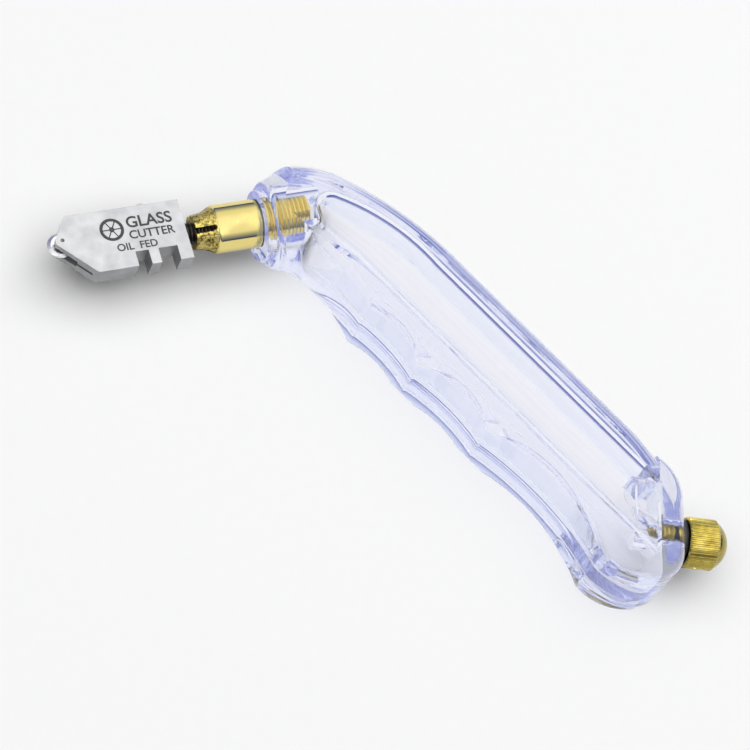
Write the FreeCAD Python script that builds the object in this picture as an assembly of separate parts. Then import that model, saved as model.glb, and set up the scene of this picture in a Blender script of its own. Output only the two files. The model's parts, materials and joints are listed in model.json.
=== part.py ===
import FreeCAD, Part
import math
import os

V = FreeCAD.Vector
os.makedirs("parts", exist_ok=True)

# Handle. It lies on one flat side: X is the filler axis, Z is the thickness.
THICK = 21.0
MID = THICK / 2
FAR_FILLET = 4.5
GRIP_FILLET = 1.6
WALL = 3.0
CHAMBER_ROUND = 4.5
RIDGES = [(30.1, -17.2), (44.4, -30.3), (59.6, -43.8)]
BEVEL_W = 1.95
BEVEL_H = 3.6
SEAM_X = 97.5
SEAM_GAP = 0.06
CORNER_Y = -44.8
CAP_END = 103.5
CAP_FILLET = 3.0
SPIGOT_Y = (-62.4, -48.9)
FILLER_Y = -60.7

# Collar axis: it leaves the neck at this angle to X. Stations along it start at the collar's polished body.
NECK_ANGLE = 18.0
NECK_T = -1.0
NECK_R = 9.9
LIP_S = 9.1
LIP_R = 8.0
LIP_ROUND = 1.2
STEP_S = 11.6
SEAT_S = 10.2
CHAMBER_S = 22.0

# Collar
BODY_R = 5.4
BODY_LEN = 9.6
NOSE_S = -5.0
NOSE_R = 3.8
SLOT_TURN = 20
SLOT_W = 1.3
SLOT_END = -1.2
THREAD_DEPTH = 0.5
SOCKET_R = 2.5
SOCKET_END = 4.4
OIL_R = 1.6
COLLAR_THREAD_R = 4.6
COLLAR_END = 20.6
PITCH = 1.0

# Head
HEAD_T = 5.2
HEAD_BACK = -6.8
NOTCHES = [(-19.3, -16.3), (-14.1, -9.8)]
NOTCH_TOP = -3.5
SLIT_W = 0.8
STEM_R = 2.4
STEM_PITCH = 0.8
STEM_DEPTH = 0.4
STEM_END = 4.0
SPIGOT_R = 1.7
SPIGOT_END = -12.0
CHANNEL_R = 0.9
WHEEL_R = 2.9
WHEEL_W = 1.1
POCKET_W = 2.2
WHEEL_AT = (-34.2, 1.7)
AXLE_R = 0.45
SEAL_S = 2.6
SEAL_MINOR = 0.24
PLUG_S = -14.7
PLUG_R = 1.5
PLUG_RISE = 1.4
PLUG_DEPTH = 2.0
EDGE_T = 7.3

# Filler cap
KNOB_R = 5.6
KNOB_FROM = 106.1
KNURL_END = 112.6
KNOB_END = 115.9
KNURLS = 40
KNURL_R = 0.26
SCREW_R = 3.0
SCREW_FROM = 95.5
RING_OUTER = 5.25
RING_MINOR = (KNOB_FROM - CAP_END) / 2


def prism(edges, z0, z1):
    face = Part.Face(Part.Wire(edges))
    face.translate(V(0, 0, z0))
    return face.extrude(V(0, 0, z1 - z0))


def polygon(points):
    closed = [V(x, y, 0) for x, y in points + points[:1]]
    return [Part.makeLine(a, b) for a, b in zip(closed, closed[1:])]


def arc(a, b, c):
    return Part.Arc(V(*a, 0), V(*b, 0), V(*c, 0)).toShape()


def line(a, b):
    return Part.makeLine(V(*a, 0), V(*b, 0))


def box(x0, x1, y0, y1, z0, z1):
    return Part.makeBox(x1 - x0, y1 - y0, z1 - z0, V(x0, y0, z0))


def rod(r, x0, x1, y=0.0, z=0.0):
    return Part.makeCylinder(r, x1 - x0, V(x0, y, z), V(1, 0, 0))


def turned(edges):
    """A body of revolution about X from a closed (x, radius) profile."""
    return Part.Face(Part.Wire(edges)).revolve(V(0, 0, 0), V(1, 0, 0), 360)


def grooved(r, x0, x1, pitch, depth):
    """A threaded length, drawn as evenly spaced V grooves."""
    pts = [(x0, 0.0), (x0, r - depth)]
    count = int((x1 - x0) / pitch)
    for k in range(count):
        start = x0 + k * pitch
        pts += [(start + 0.35 * pitch, r), (start + 0.6 * pitch, r), (start + pitch, r - depth)]
    pts += [(x1, r - depth), (x1, 0.0)] if x1 - x0 - count * pitch > 0.01 else [(x1, 0.0)]
    return turned(polygon(pts))


def on_collar_axis(shape):
    """Carry a shape drawn along X from the collar's own axes to the handle's."""
    shape.rotate(V(0, 0, 0), V(0, 0, 1), NECK_ANGLE)
    shape.translate(V(0, 0, MID))
    return shape


# ---- handle ----

def tangent_arc(start, angle, end):
    """An arc from start, leaving it at the given angle in degrees, to end; and its angle there."""
    dx, dy = end[0] - start[0], end[1] - start[1]
    chord = math.degrees(math.atan2(dy, dx))
    rise = math.tan(math.radians(angle - chord) / 2) / 2
    middle = (start[0] + dx / 2 - dy * rise, start[1] + dy / 2 + dx * rise)
    return arc(start, middle, end), 2 * chord - angle


def handle_outline():
    neck_top = (6.9, 11.8)
    shoulder = (12.6, neck_top[1] + 5.7 * math.tan(math.radians(NECK_ANGLE)))
    first, angle = tangent_arc(shoulder, NECK_ANGLE, (26.7, 13.3))
    second, angle = tangent_arc((26.7, 13.3), angle, (52.0, -2.0))
    back_end = (91.0, -37.66)
    slope = math.degrees(math.atan2(back_end[1] + 2.0, back_end[0] - 52.0))
    corner, angle = tangent_arc(back_end, slope, (SEAM_X, CORNER_Y))
    heel = (84.5, -69.8)
    front = (12.4, -7.4)
    return [
        line(neck_top, shoulder),
        first,
        second,
        line((52.0, -2.0), back_end),
        corner,
        line((SEAM_X, CORNER_Y), (SEAM_X, -73.8)),
        arc((SEAM_X, -73.8), (88.9, -73.0), heel),
        arc(heel, (73.9, -53.1), RIDGES[2]),
        arc(RIDGES[2], (53.6, -35.4), RIDGES[1]),
        arc(RIDGES[1], (38.9, -21.9), RIDGES[0]),
        arc(RIDGES[0], (23.7, -9.2), front),
        line(front, neck_top),
    ]


def edges_at(shape, z, test):
    """Edges that lie at one height and pass a test on their midpoint, in order of X."""
    found = []
    for e in shape.Edges:
        flat = e.BoundBox.ZLength < 1e-4 and abs(e.BoundBox.ZMin - z) < 1e-4
        mid = e.valueAt((e.FirstParameter + e.LastParameter) / 2)
        if flat and test(mid):
            found.append((mid.x, e))
    return [e for x, e in sorted(found, key=lambda pair: pair[0])]


def on_far_side(p):
    return 0.675 * p.x + 0.737 * p.y > 13


def rounded_in_turn(shape, edges, radius):
    """Round edges that meet at sharp ridges one after another, finding each again by its midpoint."""
    middles = [Part.Vertex(e.valueAt((e.FirstParameter + e.LastParameter) / 2)) for e in edges]
    for middle in middles:
        nearest = [e for e in shape.Edges if e.distToShape(middle)[0] < 0.01]
        shape = shape.makeFillet(radius, nearest[:1])
    return shape


def ridge_bevel():
    """What a straight bevel along the grip takes off: it leaves a three-cornered facet on each ridge."""
    (x0, y0), (x1, y1) = RIDGES[0], RIDGES[-1]
    run = math.hypot(x1 - x0, y1 - y0)
    below, past_ends = 1.0, 7.3
    section = [(BEVEL_W * (1 + below / BEVEL_H), -below), (-BEVEL_W, 2 * BEVEL_H), (-BEVEL_W, -below)]
    closed = [V(-past_ends, y, z) for y, z in section + section[:1]]
    wedge = Part.Face(Part.makePolygon(closed)).extrude(V(run + 2 * past_ends, 0, 0))
    wedge.rotate(V(0, 0, 0), V(0, 0, 1), math.degrees(math.atan2(y1 - y0, x1 - x0)))
    wedge.translate(V(x0, y0, 0))
    return wedge


def rounded_corner(s, r):
    """The rounded front corner of a ring whose front is at station s and whose radius is r."""
    c = LIP_ROUND * (1 - math.sqrt(0.5))
    return [arc((s, r - LIP_ROUND), (s + c, r - c), (s + LIP_ROUND, r))]


def neck_waste():
    """What is turned away to make the round, flaring neck."""
    step = STEP_S + LIP_ROUND
    profile = [line((LIP_S, 0.0), (LIP_S, LIP_R - LIP_ROUND)),
               *rounded_corner(LIP_S, LIP_R),
               line((LIP_S + LIP_ROUND, LIP_R), (STEP_S, LIP_R)),
               line((STEP_S, LIP_R), (STEP_S, NECK_R - LIP_ROUND)),
               *rounded_corner(STEP_S, NECK_R),
               arc((step, NECK_R), (20.0, 14.5), (26.0, 28.0)),
               line((26.0, 28.0), (26.0, 0.0)),
               line((26.0, 0.0), (LIP_S, 0.0))]
    keep = turned(profile)
    waste = box(0, 26.0, -40, 40, -20, 20).cut(keep)
    waste.translate(V(0, NECK_T, 0))
    return on_collar_axis(waste)


def chamber():
    """The oil chamber: it follows the handle's back at one wall's depth and opens at the seam."""
    front, bend, back = (18.4, 11.3), (50.0, -4.3), (SEAM_X + 1, -48.7)
    low_back, low_front, corner = (SEAM_X + 1, -67.8), (30.5, -5.5), (21.8, 0.6)
    edges = [arc(front, (34.6, 6.9), bend), line(bend, back), line(back, low_back), line(low_back, low_front),
             line(low_front, corner), line(corner, front)]
    body = prism(edges, WALL, THICK - WALL)
    body = body.makeFillet(CHAMBER_ROUND, [e for e in body.Edges if e.BoundBox.XMin < SEAM_X])
    return body.fuse(rod(SCREW_R + 1.9, SEAM_X - 4.7, SEAM_X + 1, FILLER_Y, MID))


def neck_bore():
    bore = rod(COLLAR_THREAD_R + 0.08, LIP_S - 1, CHAMBER_S + 1.5)
    return on_collar_axis(bore.fuse(rod(BODY_R + 0.5, LIP_S - 1, SEAT_S)))


def handle_body():
    half = prism(handle_outline(), 0, MID)
    back = edges_at(half, 0, lambda p: on_far_side(p) and 9.7 < p.x < SEAM_X - 0.1)
    half = half.makeFillet(FAR_FILLET, back)
    grip = edges_at(half, 0, lambda p: not on_far_side(p) and 12 < p.x < SEAM_X - 0.1)
    half = rounded_in_turn(half, grip, GRIP_FILLET).cut(ridge_bevel())
    body = half.fuse(half.mirror(V(0, 0, MID), V(0, 0, 1))).removeSplitter()
    return body.cut(neck_waste()).cut(chamber()).cut(neck_bore())


def end_cap():
    front = SEAM_X + SEAM_GAP
    top, bottom = (front, CORNER_Y - 0.1), (front, -73.8)
    outline = [arc(top, (101.9, -49.0), (CAP_END, -54.5)),
               line((CAP_END, -54.5), (CAP_END, -66.0)),
               arc((CAP_END, -66.0), (101.7, -71.4), bottom),
               line(bottom, top)]
    cap = prism(outline, 0, THICK)
    rim = [e for z in (0, THICK) for e in edges_at(cap, z, lambda p: p.x > SEAM_X + 0.1)]
    cap = cap.makeFillet(CAP_FILLET, rim)
    y0, y1 = SPIGOT_Y
    spigot = box(SEAM_X - 4.5, front + 0.5, y0, y1, WALL + 0.15, THICK - WALL - 0.15)
    spigot = spigot.makeFillet(CHAMBER_ROUND, [e for e in spigot.Edges if e.BoundBox.XLength > 4])
    cup = box(SEAM_X - 4.6, SEAM_X + 1.5, y0 + 1.6, y1 - 1.6, WALL + 1.8, THICK - WALL - 1.8)
    cap = cap.fuse(spigot).cut(cup)
    cap = cap.fuse(rod(SCREW_R + 1.7, SEAM_X - 4.5, SEAM_X + 2.0, FILLER_Y, MID)).removeSplitter()
    return cap.cut(rod(SCREW_R + 0.08, SEAM_X - 5, CAP_END + 1, FILLER_Y, MID))


# ---- collar ----

def collar():
    profile = [line((NOSE_S, 0.0), (NOSE_S, NOSE_R)),
               line((NOSE_S, NOSE_R), (NOSE_S + 1.0, NOSE_R + 0.15)),
               arc((NOSE_S + 1.0, NOSE_R + 0.15), (-2.3, 4.25), (-0.3, 5.2)),
               line((-0.3, 5.2), (0.0, BODY_R)),
               line((0.0, BODY_R), (BODY_LEN, BODY_R)),
               line((BODY_LEN, BODY_R), (BODY_LEN, 0.0)),
               line((BODY_LEN, 0.0), (NOSE_S, 0.0))]
    body = turned(profile)
    body = body.fuse(rod(COLLAR_THREAD_R - THREAD_DEPTH, BODY_LEN, BODY_LEN + 1.2))
    thread = grooved(COLLAR_THREAD_R, BODY_LEN + 1.0, COLLAR_END, PITCH, THREAD_DEPTH)
    body = body.fuse(thread).removeSplitter()
    body = body.cut(rod(SOCKET_R, NOSE_S - 1, SOCKET_END)).cut(rod(OIL_R, 0, COLLAR_END + 1))
    for turn in (SLOT_TURN, SLOT_TURN + 90):
        slot = box(NOSE_S - 1, SLOT_END, -BODY_R, BODY_R, -SLOT_W / 2, SLOT_W / 2)
        slot = slot.fuse(Part.makeCylinder(SLOT_W / 2, 2 * BODY_R, V(SLOT_END, -BODY_R, 0), V(0, 1, 0)))
        slot.rotate(V(0, 0, 0), V(1, 0, 0), turn)
        body = body.cut(slot)
    return on_collar_axis(body)


def collar_seal():
    ring = rod(BODY_R - 0.1, BODY_LEN, SEAT_S).cut(rod(COLLAR_THREAD_R - 0.45, BODY_LEN - 1, SEAT_S + 1))
    return on_collar_axis(ring)


# ---- head ----

def head_outline():
    return polygon([(-32.5, EDGE_T), (-35.6, 2.1), (-35.8, 1.0), (-28.3, -6.95),
                    (HEAD_BACK, -6.95), (HEAD_BACK, EDGE_T)])


def head_body():
    half = HEAD_T / 2
    body = prism(head_outline(), -half, half)
    for x0, x1 in NOTCHES:
        body = body.cut(box(x0, x1, -8, NOTCH_TOP, -HEAD_T, HEAD_T))
    body = body.cut(box(-38, -30.8, -3.2, 5.2, -POCKET_W / 2, POCKET_W / 2))
    body = body.cut(box(-38, -27.0, -6.1, -3.0, -SLIT_W / 2, SLIT_W / 2))
    body = body.cut(rod(SPIGOT_R, SPIGOT_END, HEAD_BACK + 1)).cut(rod(CHANNEL_R, -31.5, SPIGOT_END + 0.5))
    body = body.cut(Part.makeCylinder(PLUG_R, PLUG_DEPTH, V(PLUG_S, EDGE_T - PLUG_DEPTH, 0), V(0, 1, 0)))
    body = body.cut(Part.makeCylinder(CHANNEL_R, EDGE_T - 1, V(PLUG_S, 0, 0), V(0, 1, 0)))
    body = body.cut(Part.makeCylinder(AXLE_R, 8, V(*WHEEL_AT, -4)))
    return on_collar_axis(body)


def cutting_wheel():
    x, y = WHEEL_AT
    half = WHEEL_W / 2
    profile = polygon([(-half, AXLE_R + 0.05), (half, AXLE_R + 0.05), (half, WHEEL_R - 0.7), (0, WHEEL_R),
                       (-half, WHEEL_R - 0.7)])
    wheel = turned(profile)
    wheel.rotate(V(0, 0, 0), V(0, 1, 0), 90)
    wheel.translate(V(x, y, 0))
    return on_collar_axis(wheel)


def wheel_axle():
    return on_collar_axis(Part.makeCylinder(AXLE_R, HEAD_T, V(*WHEEL_AT, -HEAD_T / 2)))


def oil_plug():
    plug = Part.makeCylinder(PLUG_R, PLUG_DEPTH, V(PLUG_S, EDGE_T - PLUG_DEPTH, 0), V(0, 1, 0))
    ball_r = (PLUG_R ** 2 + PLUG_RISE ** 2) / (2 * PLUG_RISE)
    ball = Part.makeSphere(ball_r, V(PLUG_S, EDGE_T + PLUG_RISE - ball_r, 0))
    cap = ball.common(Part.makeCylinder(PLUG_R, 2 * PLUG_RISE, V(PLUG_S, EDGE_T, 0), V(0, 1, 0)))
    return on_collar_axis(plug.fuse(cap).removeSplitter())


def stem():
    body = rod(SPIGOT_R, SPIGOT_END, HEAD_BACK + 0.5)
    body = body.fuse(rod(STEM_R - STEM_DEPTH, HEAD_BACK, STEM_END))
    body = body.fuse(grooved(STEM_R, HEAD_BACK, 1.2, STEM_PITCH, STEM_DEPTH)).removeSplitter()
    body = body.fuse(rod(STEM_R - 0.1, 3.3, STEM_END)).removeSplitter()
    return on_collar_axis(body.cut(rod(CHANNEL_R, SPIGOT_END - 1, STEM_END + 1)))


def stem_seal():
    inner = STEM_R - STEM_DEPTH + 0.005
    return on_collar_axis(Part.makeTorus(inner + SEAL_MINOR, SEAL_MINOR, V(SEAL_S, 0, 0), V(1, 0, 0)))


def wick():
    return on_collar_axis(rod(CHANNEL_R - 0.05, SPIGOT_END + 0.2, STEM_END + 1.5))


# ---- filler ----

def filler_cap():
    dome_x, dome_r = KNURL_END + 0.3, KNOB_R - 0.35
    rise = KNOB_END - dome_x
    ball_r = (dome_r ** 2 + rise ** 2) / (2 * rise)
    ball_x = KNOB_END - ball_r
    sweep = math.asin(dome_r / ball_r) / 2
    half_way = (ball_x + ball_r * math.cos(sweep), ball_r * math.sin(sweep))
    dome = [line((KNOB_FROM, 0.0), (KNOB_FROM, KNOB_R - 0.4)),
            line((KNOB_FROM, KNOB_R - 0.4), (KNOB_FROM + 0.4, KNOB_R)),
            line((KNOB_FROM + 0.4, KNOB_R), (KNURL_END, KNOB_R)),
            line((KNURL_END, KNOB_R), (dome_x, dome_r)),
            arc((dome_x, dome_r), half_way, (KNOB_END, 0.0)),
            line((KNOB_END, 0.0), (KNOB_FROM, 0.0))]
    body = turned(dome)
    groove = rod(KNURL_R, KNOB_FROM - 0.5, KNURL_END + 0.5, KNOB_R + 0.02)
    grooves = []
    for k in range(KNURLS):
        g = groove.copy()
        g.rotate(V(0, 0, 0), V(1, 0, 0), 360.0 * k / KNURLS)
        grooves.append(g)
    body = body.cut(Part.makeCompound(grooves))
    body = body.fuse(rod(SCREW_R - 0.4, CAP_END - 0.7, KNOB_FROM + 0.5))
    body = body.fuse(grooved(SCREW_R, SCREW_FROM, CAP_END - 0.7, PITCH, 0.4)).removeSplitter()
    body.translate(V(0, FILLER_Y, MID))
    return body


def filler_oring():
    where = V((CAP_END + KNOB_FROM) / 2, FILLER_Y, MID)
    return Part.makeTorus(RING_OUTER - RING_MINOR, RING_MINOR, where, V(1, 0, 0))


PIECES = {
    "handle_body": handle_body, "end_cap": end_cap, "filler_cap": filler_cap, "filler_oring": filler_oring,
    "collar": collar, "collar_seal": collar_seal, "head_body": head_body, "cutting_wheel": cutting_wheel,
    "wheel_axle": wheel_axle, "oil_plug": oil_plug, "stem": stem, "stem_seal": stem_seal, "wick": wick,
}


def main():
    shapes = {name: make() for name, make in PIECES.items()}
    whole = Part.makeCompound(list(shapes.values())).optimalBoundingBox(False)
    shift = V(-whole.Center.x, -whole.Center.y, -whole.ZMin)
    for name, shape in shapes.items():
        shape.translate(shift)
        shape.exportStep("parts/" + name + ".step")
        print(name, "solids", len(shape.Solids), "valid", shape.isValid(), "volume", round(shape.Volume, 1))
    print("origin of the work frame is at", [round(c, 4) for c in shift], "size",
          [round(c, 2) for c in (whole.XLength, whole.YLength, whole.ZLength)])


main()
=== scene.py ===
import json
import math

import bmesh
import bpy
from mathutils import Matrix, Quaternion, Vector


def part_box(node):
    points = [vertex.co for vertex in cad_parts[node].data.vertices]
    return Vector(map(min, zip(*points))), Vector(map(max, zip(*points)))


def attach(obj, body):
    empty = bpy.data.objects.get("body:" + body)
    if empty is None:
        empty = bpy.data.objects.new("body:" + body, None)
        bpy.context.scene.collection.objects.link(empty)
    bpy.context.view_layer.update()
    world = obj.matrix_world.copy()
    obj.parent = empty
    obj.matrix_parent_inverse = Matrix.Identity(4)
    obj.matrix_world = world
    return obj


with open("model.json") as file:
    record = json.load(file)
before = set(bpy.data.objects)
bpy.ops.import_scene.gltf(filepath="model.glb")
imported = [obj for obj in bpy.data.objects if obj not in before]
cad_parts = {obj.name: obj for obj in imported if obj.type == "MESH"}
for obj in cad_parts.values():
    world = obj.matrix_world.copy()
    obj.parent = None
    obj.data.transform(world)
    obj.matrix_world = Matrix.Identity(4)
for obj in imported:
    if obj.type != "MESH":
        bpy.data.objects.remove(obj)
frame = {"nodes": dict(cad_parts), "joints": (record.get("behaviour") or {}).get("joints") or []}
NODES = frame["nodes"]
JOINTS = {j["name"]: j for j in frame["joints"]}
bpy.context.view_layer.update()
MM = 0.001

# The collar's axis: it points out of the handle, towards the head.
OUTWARD = Vector(JOINTS["collar_turn"]["axis"]).normalized()
COLLAR_FRONT = Vector(JOINTS["collar_turn"]["pos_m"])
# The angle between that axis and the X axis.
COLLAR_ANGLE = math.radians(18)


# ---- shader helpers ----

class Shader:
    """A material's node tree, built by name."""

    def __init__(self, name):
        self.material = bpy.data.materials.new(name)
        self.material.use_nodes = True
        self.tree = self.material.node_tree
        self.tree.nodes.clear()
        self.output = self.add("ShaderNodeOutputMaterial")

    def add(self, kind, inputs=None, **settings):
        node = self.tree.nodes.new(kind)
        for key, value in settings.items():
            setattr(node, key, value)
        for key, value in (inputs or {}).items():
            if isinstance(value, bpy.types.NodeSocket):
                self.tree.links.new(value, node.inputs[key])
            else:
                node.inputs[key].default_value = value
        return node

    def noise(self, vector, scale, detail=3.0, roughness=0.5):
        inputs = {"Vector": vector, "Scale": scale, "Detail": detail, "Roughness": roughness}
        return self.add("ShaderNodeTexNoise", inputs).outputs["Fac"]

    def stretched(self, rotation=(0, 0, 0), scale=(1, 1, 1)):
        """Object coordinates, scaled and then turned. Grain runs along the axis with the smallest scale."""
        where = self.add("ShaderNodeTexCoord").outputs["Object"]
        inputs = {"Vector": where, "Rotation": rotation, "Scale": scale}
        return self.add("ShaderNodeMapping", inputs).outputs[0]

    def ramp(self, fac, stops):
        node = self.add("ShaderNodeValToRGB", {"Fac": fac})
        elements = node.color_ramp.elements
        while len(elements) < len(stops):
            elements.new(0.5)
        for element, (at, colour) in zip(elements, stops):
            element.position = at
            element.color = (*colour, 1.0)
        return node.outputs["Color"]

    def remap(self, fac, low, high):
        return self.add("ShaderNodeMapRange", {"Value": fac, "To Min": low, "To Max": high}).outputs[0]

    def bump(self, height, strength, depth_mm):
        return self.add("ShaderNodeBump",
                        {"Height": height, "Strength": strength, "Distance": depth_mm * MM}).outputs["Normal"]

    def mix(self, fac, a, b):
        node = self.add("ShaderNodeMix", {"Factor": fac}, data_type="RGBA")
        for socket, value in ((node.inputs[6], a), (node.inputs[7], b)):
            if isinstance(value, bpy.types.NodeSocket):
                self.tree.links.new(value, socket)
            else:
                socket.default_value = (*value, 1.0)
        return node.outputs[2]

    def surface(self, **inputs):
        shader = self.add("ShaderNodeBsdfPrincipled", {k.replace("_", " "): v for k, v in inputs.items()})
        self.tree.links.new(shader.outputs[0], self.output.inputs["Surface"])
        return shader


def position_along(s, origin, direction):
    """Metres along a direction from a point, in the piece's own coordinates."""
    where = s.add("ShaderNodeTexCoord").outputs["Object"]
    offset = s.add("ShaderNodeVectorMath", {0: where, 1: origin}, operation="SUBTRACT").outputs[0]
    return s.add("ShaderNodeVectorMath", {0: offset, 1: direction}, operation="DOT_PRODUCT").outputs["Value"]


# ---- materials ----

# Painted shade on the acrylic: walls that face sideways are painted a darker blue-violet, while flats that
# face up or down stay near white.
PAINTED_EDGE_SHADE = [(0.0, (0.88, 0.91, 1.0)), (0.25, (0.955, 0.965, 1.0)), (0.5, (0.995, 0.995, 1.0))]


def acrylic():
    """Clear and nearly neutral through the flats, with painted blue-violet shade where the walls turn down.
    """
    s = Shader("clear_acrylic")
    where = s.stretched()
    wobble = s.noise(where, 70.0, 2.0)
    fine = s.noise(where, 900.0, 3.0)
    height = s.mix(0.12, wobble, fine)
    facing = s.add("ShaderNodeTexCoord").outputs["Normal"]
    up = s.add("ShaderNodeSeparateXYZ", {0: facing}).outputs["Z"]
    level = s.add("ShaderNodeMath", {0: up}, operation="ABSOLUTE").outputs[0]
    # Painted shade: the colour darkens to blue-violet as the surface turns to face sideways.
    painted_edge_shade = s.ramp(level, PAINTED_EDGE_SHADE)
    shader = s.surface(Base_Color=painted_edge_shade, Transmission_Weight=1.0, IOR=1.49,
                       Roughness=s.remap(fine, 0.0, 0.015), Normal=s.bump(height, 0.07, 0.25))
    through = s.add("ShaderNodeBsdfTransparent", {"Color": (0.985, 0.985, 0.99, 1.0)})
    shadow = s.add("ShaderNodeLightPath").outputs["Is Shadow Ray"]
    both = s.add("ShaderNodeMixShader", {0: shadow, 1: shader.outputs[0], 2: through.outputs[0]})
    s.tree.links.new(both.outputs[0], s.output.inputs["Surface"])
    tint = s.add("ShaderNodeVolumeAbsorption", {"Color": (0.02, 0.13, 0.93, 1.0), "Density": 4.0})
    s.tree.links.new(tint.outputs[0], s.output.inputs["Volume"])
    return s.material


def head_steel():
    s = Shader("head_steel")
    grain = s.noise(s.stretched((0, 0, COLLAR_ANGLE), (60, 900, 900)), 5.0, 6.0, 0.6)
    cloud = s.noise(s.stretched(), 260.0, 4.0)
    s.surface(Base_Color=s.ramp(cloud, [(0.3, (0.30, 0.303, 0.31)), (0.7, (0.40, 0.403, 0.41))]),
              Metallic=0.75, Roughness=s.remap(grain, 0.34, 0.5), Normal=s.bump(grain, 0.25, 0.02))
    return s.material


def pin_steel():
    s = Shader("pin_steel")
    grain = s.noise(s.stretched(), 2500.0, 4.0)
    s.surface(Base_Color=s.ramp(grain, [(0.3, (0.04, 0.04, 0.04)), (0.8, (0.14, 0.13, 0.12))]),
              Metallic=0.8, Roughness=0.45, Normal=s.bump(grain, 0.3, 0.02))
    return s.material


def carbide():
    s = Shader("carbide")
    grind = s.noise(s.stretched(scale=(1, 1, 12)), 1600.0, 5.0)
    s.surface(Base_Color=s.ramp(grind, [(0.3, (0.42, 0.42, 0.43)), (0.7, (0.66, 0.66, 0.67))]),
              Metallic=1.0, Roughness=s.remap(grind, 0.2, 0.4), Normal=s.bump(grind, 0.35, 0.03))
    return s.material


def dark_steel():
    s = Shader("dark_steel")
    oil = s.noise(s.stretched(), 900.0, 4.0)
    s.surface(Base_Color=s.ramp(oil, [(0.3, (0.012, 0.010, 0.009)), (0.75, (0.05, 0.04, 0.03))]),
              Metallic=0.6, Roughness=s.remap(oil, 0.2, 0.42), Normal=s.bump(oil, 0.3, 0.03))
    return s.material


def brass(name, light, dark, rough):
    s = Shader(name)
    cloud = s.noise(s.stretched(), 500.0, 5.0)
    s.surface(Base_Color=s.ramp(cloud, [(0.3, dark), (0.7, light)]), Metallic=1.0,
              Roughness=s.remap(cloud, *rough), Normal=s.bump(cloud, 0.15, 0.03))
    return s.material


def collar_brass():
    """Polished on the body, coarse and pitted on the nose."""
    s = Shader("collar_brass")
    where = s.stretched()
    along = position_along(s, COLLAR_FRONT, OUTWARD)
    nose = s.add("ShaderNodeMapRange", {"Value": along, "From Min": 0.0002, "From Max": 0.0006}).outputs[0]
    lathe = s.add("ShaderNodeTexWave", {"Vector": s.add("ShaderNodeCombineXYZ", {"X": along}).outputs[0],
                                        "Scale": 900.0, "Distortion": 1.0}).outputs["Fac"]
    pits = s.noise(where, 1500.0, 5.0, 0.7)
    height = s.mix(nose, lathe, pits)
    colour = s.ramp(pits, [(0.40, (0.06, 0.045, 0.01)), (0.58, (0.62, 0.50, 0.14))])
    s.surface(Base_Color=s.mix(nose, (0.80, 0.67, 0.24), colour), Metallic=1.0,
              Roughness=s.remap(nose, 0.045, 0.28),
              Normal=s.bump(height, s.remap(nose, 0.03, 0.85), 0.25))
    return s.material


def rubber():
    s = Shader("rubber")
    skin = s.noise(s.stretched(), 1800.0, 4.0)
    s.surface(Base_Color=s.ramp(skin, [(0.3, (0.004, 0.004, 0.005)), (0.8, (0.012, 0.012, 0.014))]),
              Roughness=s.remap(skin, 0.35, 0.6), Normal=s.bump(skin, 0.25, 0.03))
    return s.material


def cotton():
    s = Shader("cotton")
    strand = s.add("ShaderNodeTexWave", {"Vector": s.stretched((0, 0.6, COLLAR_ANGLE)),
                                         "Scale": 700.0, "Distortion": 3.0, "Detail": 3.0}).outputs["Fac"]
    s.surface(Base_Color=s.ramp(strand, [(0.2, (0.62, 0.58, 0.50)), (0.8, (0.86, 0.84, 0.78))]),
              Roughness=0.95, Normal=s.bump(strand, 0.6, 0.1))
    return s.material


def ink():
    s = Shader("print_ink")
    patch = s.noise(s.stretched(), 3000.0, 3.0)
    s.surface(Base_Color=s.ramp(patch, [(0.3, (0.012, 0.010, 0.010)), (0.8, (0.035, 0.03, 0.028))]),
              Roughness=0.6)
    return s.material


# ---- print on the head ----

# Axes on the head's upper face. The print reads towards the handle.
FACE_UP = Vector((0, 0, 1))
ALONG = -OUTWARD
ACROSS = FACE_UP.cross(ALONG)

# How far the print stands above the face.
LIFT = 0.012 * MM
# How far the letters' outlines are thickened, as a share of their type size.
BOLDNESS = 0.022

# Name, words, then in millimetres: distance along ALONG, distance along ACROSS, type size.
LINES = [
    ("print_glass", "GLASS", -19.6, 2.3, 3.7),
    ("print_cutter", "CUTTER", -19.6, -0.4, 2.75),
    ("print_oil", "OIL  FED", -23.0, -2.9, 2.4),
]

# The wheel mark's place and radius in millimetres, then its rings and spokes in shares of that radius.
MARK_S, MARK_T, MARK_RADIUS = -23.0, 2.4, 2.7
MARK_RINGS = [(0.74, 1.0), (0.02, 0.22)]
RING_STEPS = 48
SPOKES = 6
SPOKE_FROM, SPOKE_TO, SPOKE_HALF = 0.2, 0.78, 0.05


def on_face(s_mm, t_mm):
    """A point just above the head's upper face, at distances along and across the collar's axis."""
    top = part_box("head_body")[1].z
    point = COLLAR_FRONT + ALONG * s_mm * MM + ACROSS * t_mm * MM
    return Vector((point.x, point.y, top + LIFT))


def face_frame(s_mm, t_mm):
    turn = Matrix((ALONG, ACROSS, FACE_UP)).transposed().to_4x4()
    return Matrix.Translation(on_face(s_mm, t_mm)) @ turn


def lettering(name, words, s_mm, t_mm, size_mm, material):
    text = bpy.data.curves.new(name, "FONT")
    text.body = words
    text.size = size_mm * MM
    text.resolution_u = 4
    text.offset = BOLDNESS * text.size
    holder = bpy.data.objects.new(name + "_text", text)
    bpy.context.scene.collection.objects.link(holder)
    bpy.context.view_layer.update()
    mesh = bpy.data.meshes.new_from_object(holder)
    bpy.data.objects.remove(holder)
    mesh.transform(face_frame(s_mm, t_mm))
    printed(name, mesh, material)


def rim(bm, share):
    """The vertices of one circle of the wheel mark."""
    radius = share * MARK_RADIUS * MM
    turns = [2 * math.pi * k / RING_STEPS for k in range(RING_STEPS)]
    return [bm.verts.new((radius * math.cos(turn), radius * math.sin(turn), 0)) for turn in turns]


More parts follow.
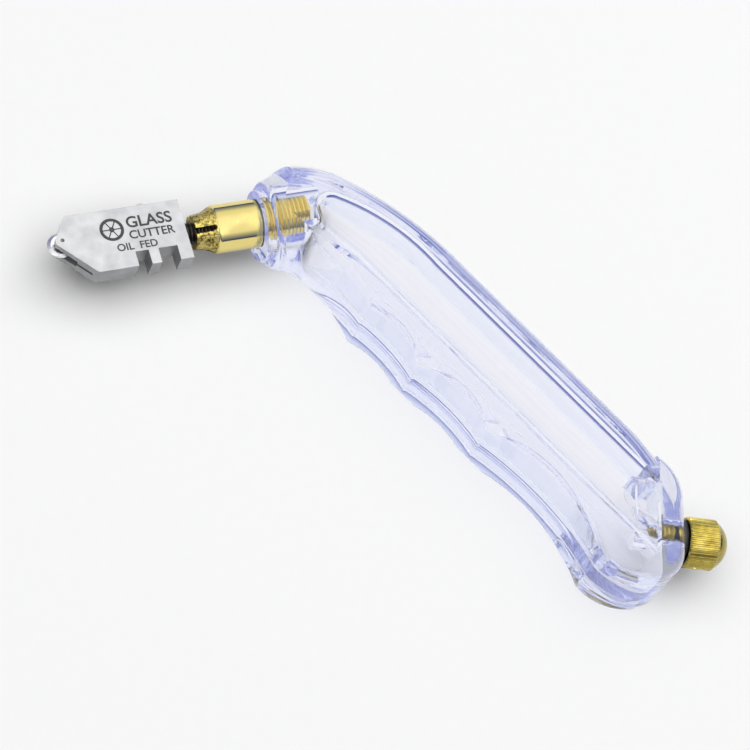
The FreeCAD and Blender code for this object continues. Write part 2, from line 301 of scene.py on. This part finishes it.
def wheel_mark(name, material):
    """A plain ring with spokes and a hub, standing for a cutting wheel."""
    bm = bmesh.new()
    for inner, outer in MARK_RINGS:
        near, far = rim(bm, inner), rim(bm, outer)
        for k in range(RING_STEPS):
            after = (k + 1) % RING_STEPS
            bm.faces.new((near[k], far[k], far[after], near[after]))
    corners = [(SPOKE_FROM, -SPOKE_HALF), (SPOKE_TO, -SPOKE_HALF),
               (SPOKE_TO, SPOKE_HALF), (SPOKE_FROM, SPOKE_HALF)]
    flat = [Vector((x * MARK_RADIUS * MM, y * MARK_RADIUS * MM, 0)) for x, y in corners]
    for k in range(SPOKES):
        turn = Matrix.Rotation(2 * math.pi * k / SPOKES, 4, "Z")
        bm.faces.new([bm.verts.new(turn @ corner) for corner in flat])
    mesh = bpy.data.meshes.new(name)
    bm.to_mesh(mesh)
    bm.free()
    mesh.transform(face_frame(MARK_S, MARK_T))
    printed(name, mesh, material)


def printed(name, mesh, material):
    """Gives the mesh its ink and fixes it to the head."""
    mesh.materials.clear()
    mesh.materials.append(material)
    obj = bpy.data.objects.new(name, mesh)
    bpy.context.scene.collection.objects.link(obj)
    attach(obj, "head")


def head_print():
    black = ink()
    wheel_mark("print_wheel", black)
    for name, words, s_mm, t_mm, size_mm in LINES:
        lettering(name, words, s_mm, t_mm, size_mm, black)


# ---- finishing the CAD nodes ----

SOFT_WIDTH = 0.12 * MM
SOFT_ANGLE = math.radians(40)


def dress():
    clear, steel, gasket = acrylic(), head_steel(), rubber()
    finishes = {
        "handle_body": clear, "end_cap": clear, "head_body": steel, "cutting_wheel": carbide(),
        "wheel_axle": pin_steel(), "stem": dark_steel(), "collar": collar_brass(), "wick": cotton(),
        "oil_plug": brass("plug_brass", (0.84, 0.76, 0.68), (0.72, 0.62, 0.54), (0.3, 0.45)),
        "filler_cap": brass("knob_brass", (0.44, 0.365, 0.085), (0.30, 0.225, 0.04), (0.10, 0.20)),
        "filler_oring": gasket, "collar_seal": gasket, "stem_seal": gasket,
    }
    for name, material in finishes.items():
        node = NODES[name]
        node.data.materials.clear()
        node.data.materials.append(material)
    soften(NODES["head_body"])


def soften(node):
    bevel = node.modifiers.new("soft_edges", "BEVEL")
    bevel.width = SOFT_WIDTH
    bevel.segments = 2
    bevel.limit_method = "ANGLE"
    bevel.angle_limit = SOFT_ANGLE


# ---- setting: floor, lights, camera ----

# The sky's colours, by how far up the ray looks.
SKY = [(0.05, (0.04, 0.07, 0.38)), (0.36, (0.50, 0.54, 0.76)), (0.56, (1.0, 1.0, 1.0))]
SKY_STRENGTH = 0.95

# Half the floor's width, and how far it lies under the tool, in metres.
FLOOR_HALF = 1.6
FLOOR_DROP = 0.00005

# Soft boxes: name, place and size in metres, power in watts. Each points at CENTRE.
CENTRE = Vector((0, 0, 0))
LAMPS = [
    ("dome", (0, 0, 1.3), (2.4, 2.4), 31.5),
    ("key", (0.62, 0.45, 0.75), (0.7, 0.6), 1.6),
    ("fill", (-0.7, -0.2, 0.55), (0.5, 0.5), 0.4),
]

# Light is trapped in the thick clear walls for many turns, and each counts as a glossy bounce.
BOUNCES = 128
TRANSPARENT_BOUNCES = 24

# The camera: direction in degrees, the point it looks at and its distance in metres, lens in millimetres.
AZIMUTH, ELEVATION, ROLL = -27.2, 60.6, 31.4
TARGET = Vector((-0.0032, -0.0003, 0.0105))
DISTANCE = 0.6888
LENS = 153.3


def floor():
    mesh = bpy.data.meshes.new("floor")
    bm = bmesh.new()
    bmesh.ops.create_grid(bm, x_segments=8, y_segments=8, size=FLOOR_HALF)
    bm.to_mesh(mesh)
    bm.free()
    obj = bpy.data.objects.new("floor", mesh)
    obj.location.z = -FLOOR_DROP
    bpy.context.scene.collection.objects.link(obj)
    s = Shader("floor_paper")
    grain = s.noise(s.stretched(), 400.0, 2.0)
    s.surface(Base_Color=s.ramp(grain, [(0.2, (0.925, 0.926, 0.926)), (0.8, (0.935, 0.936, 0.936))]),
              Roughness=0.9, Specular_IOR_Level=0.1)
    mesh.materials.append(s.material)


def lamp(name, place, size, power):
    """A soft box that is sampled directly, so that its light passes through the clear handle to the floor."""
    data = bpy.data.lights.new(name, "AREA")
    data.shape = "RECTANGLE"
    data.size, data.size_y = size
    data.energy = power
    data.cycles.use_multiple_importance_sampling = False
    obj = bpy.data.objects.new(name, data)
    obj.location = place
    obj.rotation_mode = "QUATERNION"
    obj.rotation_quaternion = (CENTRE - Vector(place)).to_track_quat("-Z", "Y")
    bpy.context.scene.collection.objects.link(obj)


def sky():
    """A pale dome that darkens to blue-violet near the horizon, which the clear edges pick up."""
    world = bpy.data.worlds.new("studio")
    world.use_nodes = True
    tree = world.node_tree
    where = tree.nodes.new("ShaderNodeTexCoord")
    split = tree.nodes.new("ShaderNodeSeparateXYZ")
    ramp = tree.nodes.new("ShaderNodeValToRGB")
    tree.links.new(where.outputs["Generated"], split.inputs[0])
    tree.links.new(split.outputs["Z"], ramp.inputs[0])
    elements = ramp.color_ramp.elements
    elements.new(0.5)
    for element, (at, colour) in zip(elements, SKY):
        element.position = at
        element.color = (*colour, 1.0)
    back = tree.nodes["Background"]
    tree.links.new(ramp.outputs[0], back.inputs[0])
    back.inputs[1].default_value = SKY_STRENGTH
    return world


def studio():
    scene = bpy.context.scene
    scene.world = sky()
    # The floor is lit by the soft boxes alone. The sky is what the metal reflects and the clear handle bends.
    scene.world.cycles_visibility.diffuse = False
    for name, place, size, power in LAMPS:
        lamp(name, place, size, power)
    scene.view_settings.view_transform = "Standard"
    scene.cycles.use_denoising = True
    scene.cycles.caustics_refractive = False
    scene.cycles.caustics_reflective = False
    scene.cycles.transparent_max_bounces = TRANSPARENT_BOUNCES
    scene.cycles.max_bounces = BOUNCES
    scene.cycles.transmission_bounces = BOUNCES
    scene.cycles.glossy_bounces = BOUNCES


def camera():
    """Looks down at the tool from the head's side, rolled so the grip runs across the frame."""
    azimuth, elevation, roll = (math.radians(angle) for angle in (AZIMUTH, ELEVATION, ROLL))
    back = Vector((math.sin(azimuth) * math.cos(elevation), -math.cos(azimuth) * math.cos(elevation),
                   math.sin(elevation)))
    data = bpy.data.cameras.new("camera")
    data.lens = LENS
    data.sensor_width = 36.0
    data.clip_start, data.clip_end = 0.05, 20.0
    obj = bpy.data.objects.new("camera", data)
    obj.location = TARGET + back * DISTANCE
    obj.rotation_mode = "QUATERNION"
    obj.rotation_quaternion = (-back).to_track_quat("-Z", "Y") @ Quaternion((0, 0, 1), roll)
    bpy.context.scene.collection.objects.link(obj)
    bpy.context.scene.camera = obj


dress()
head_print()
floor()
studio()
camera()
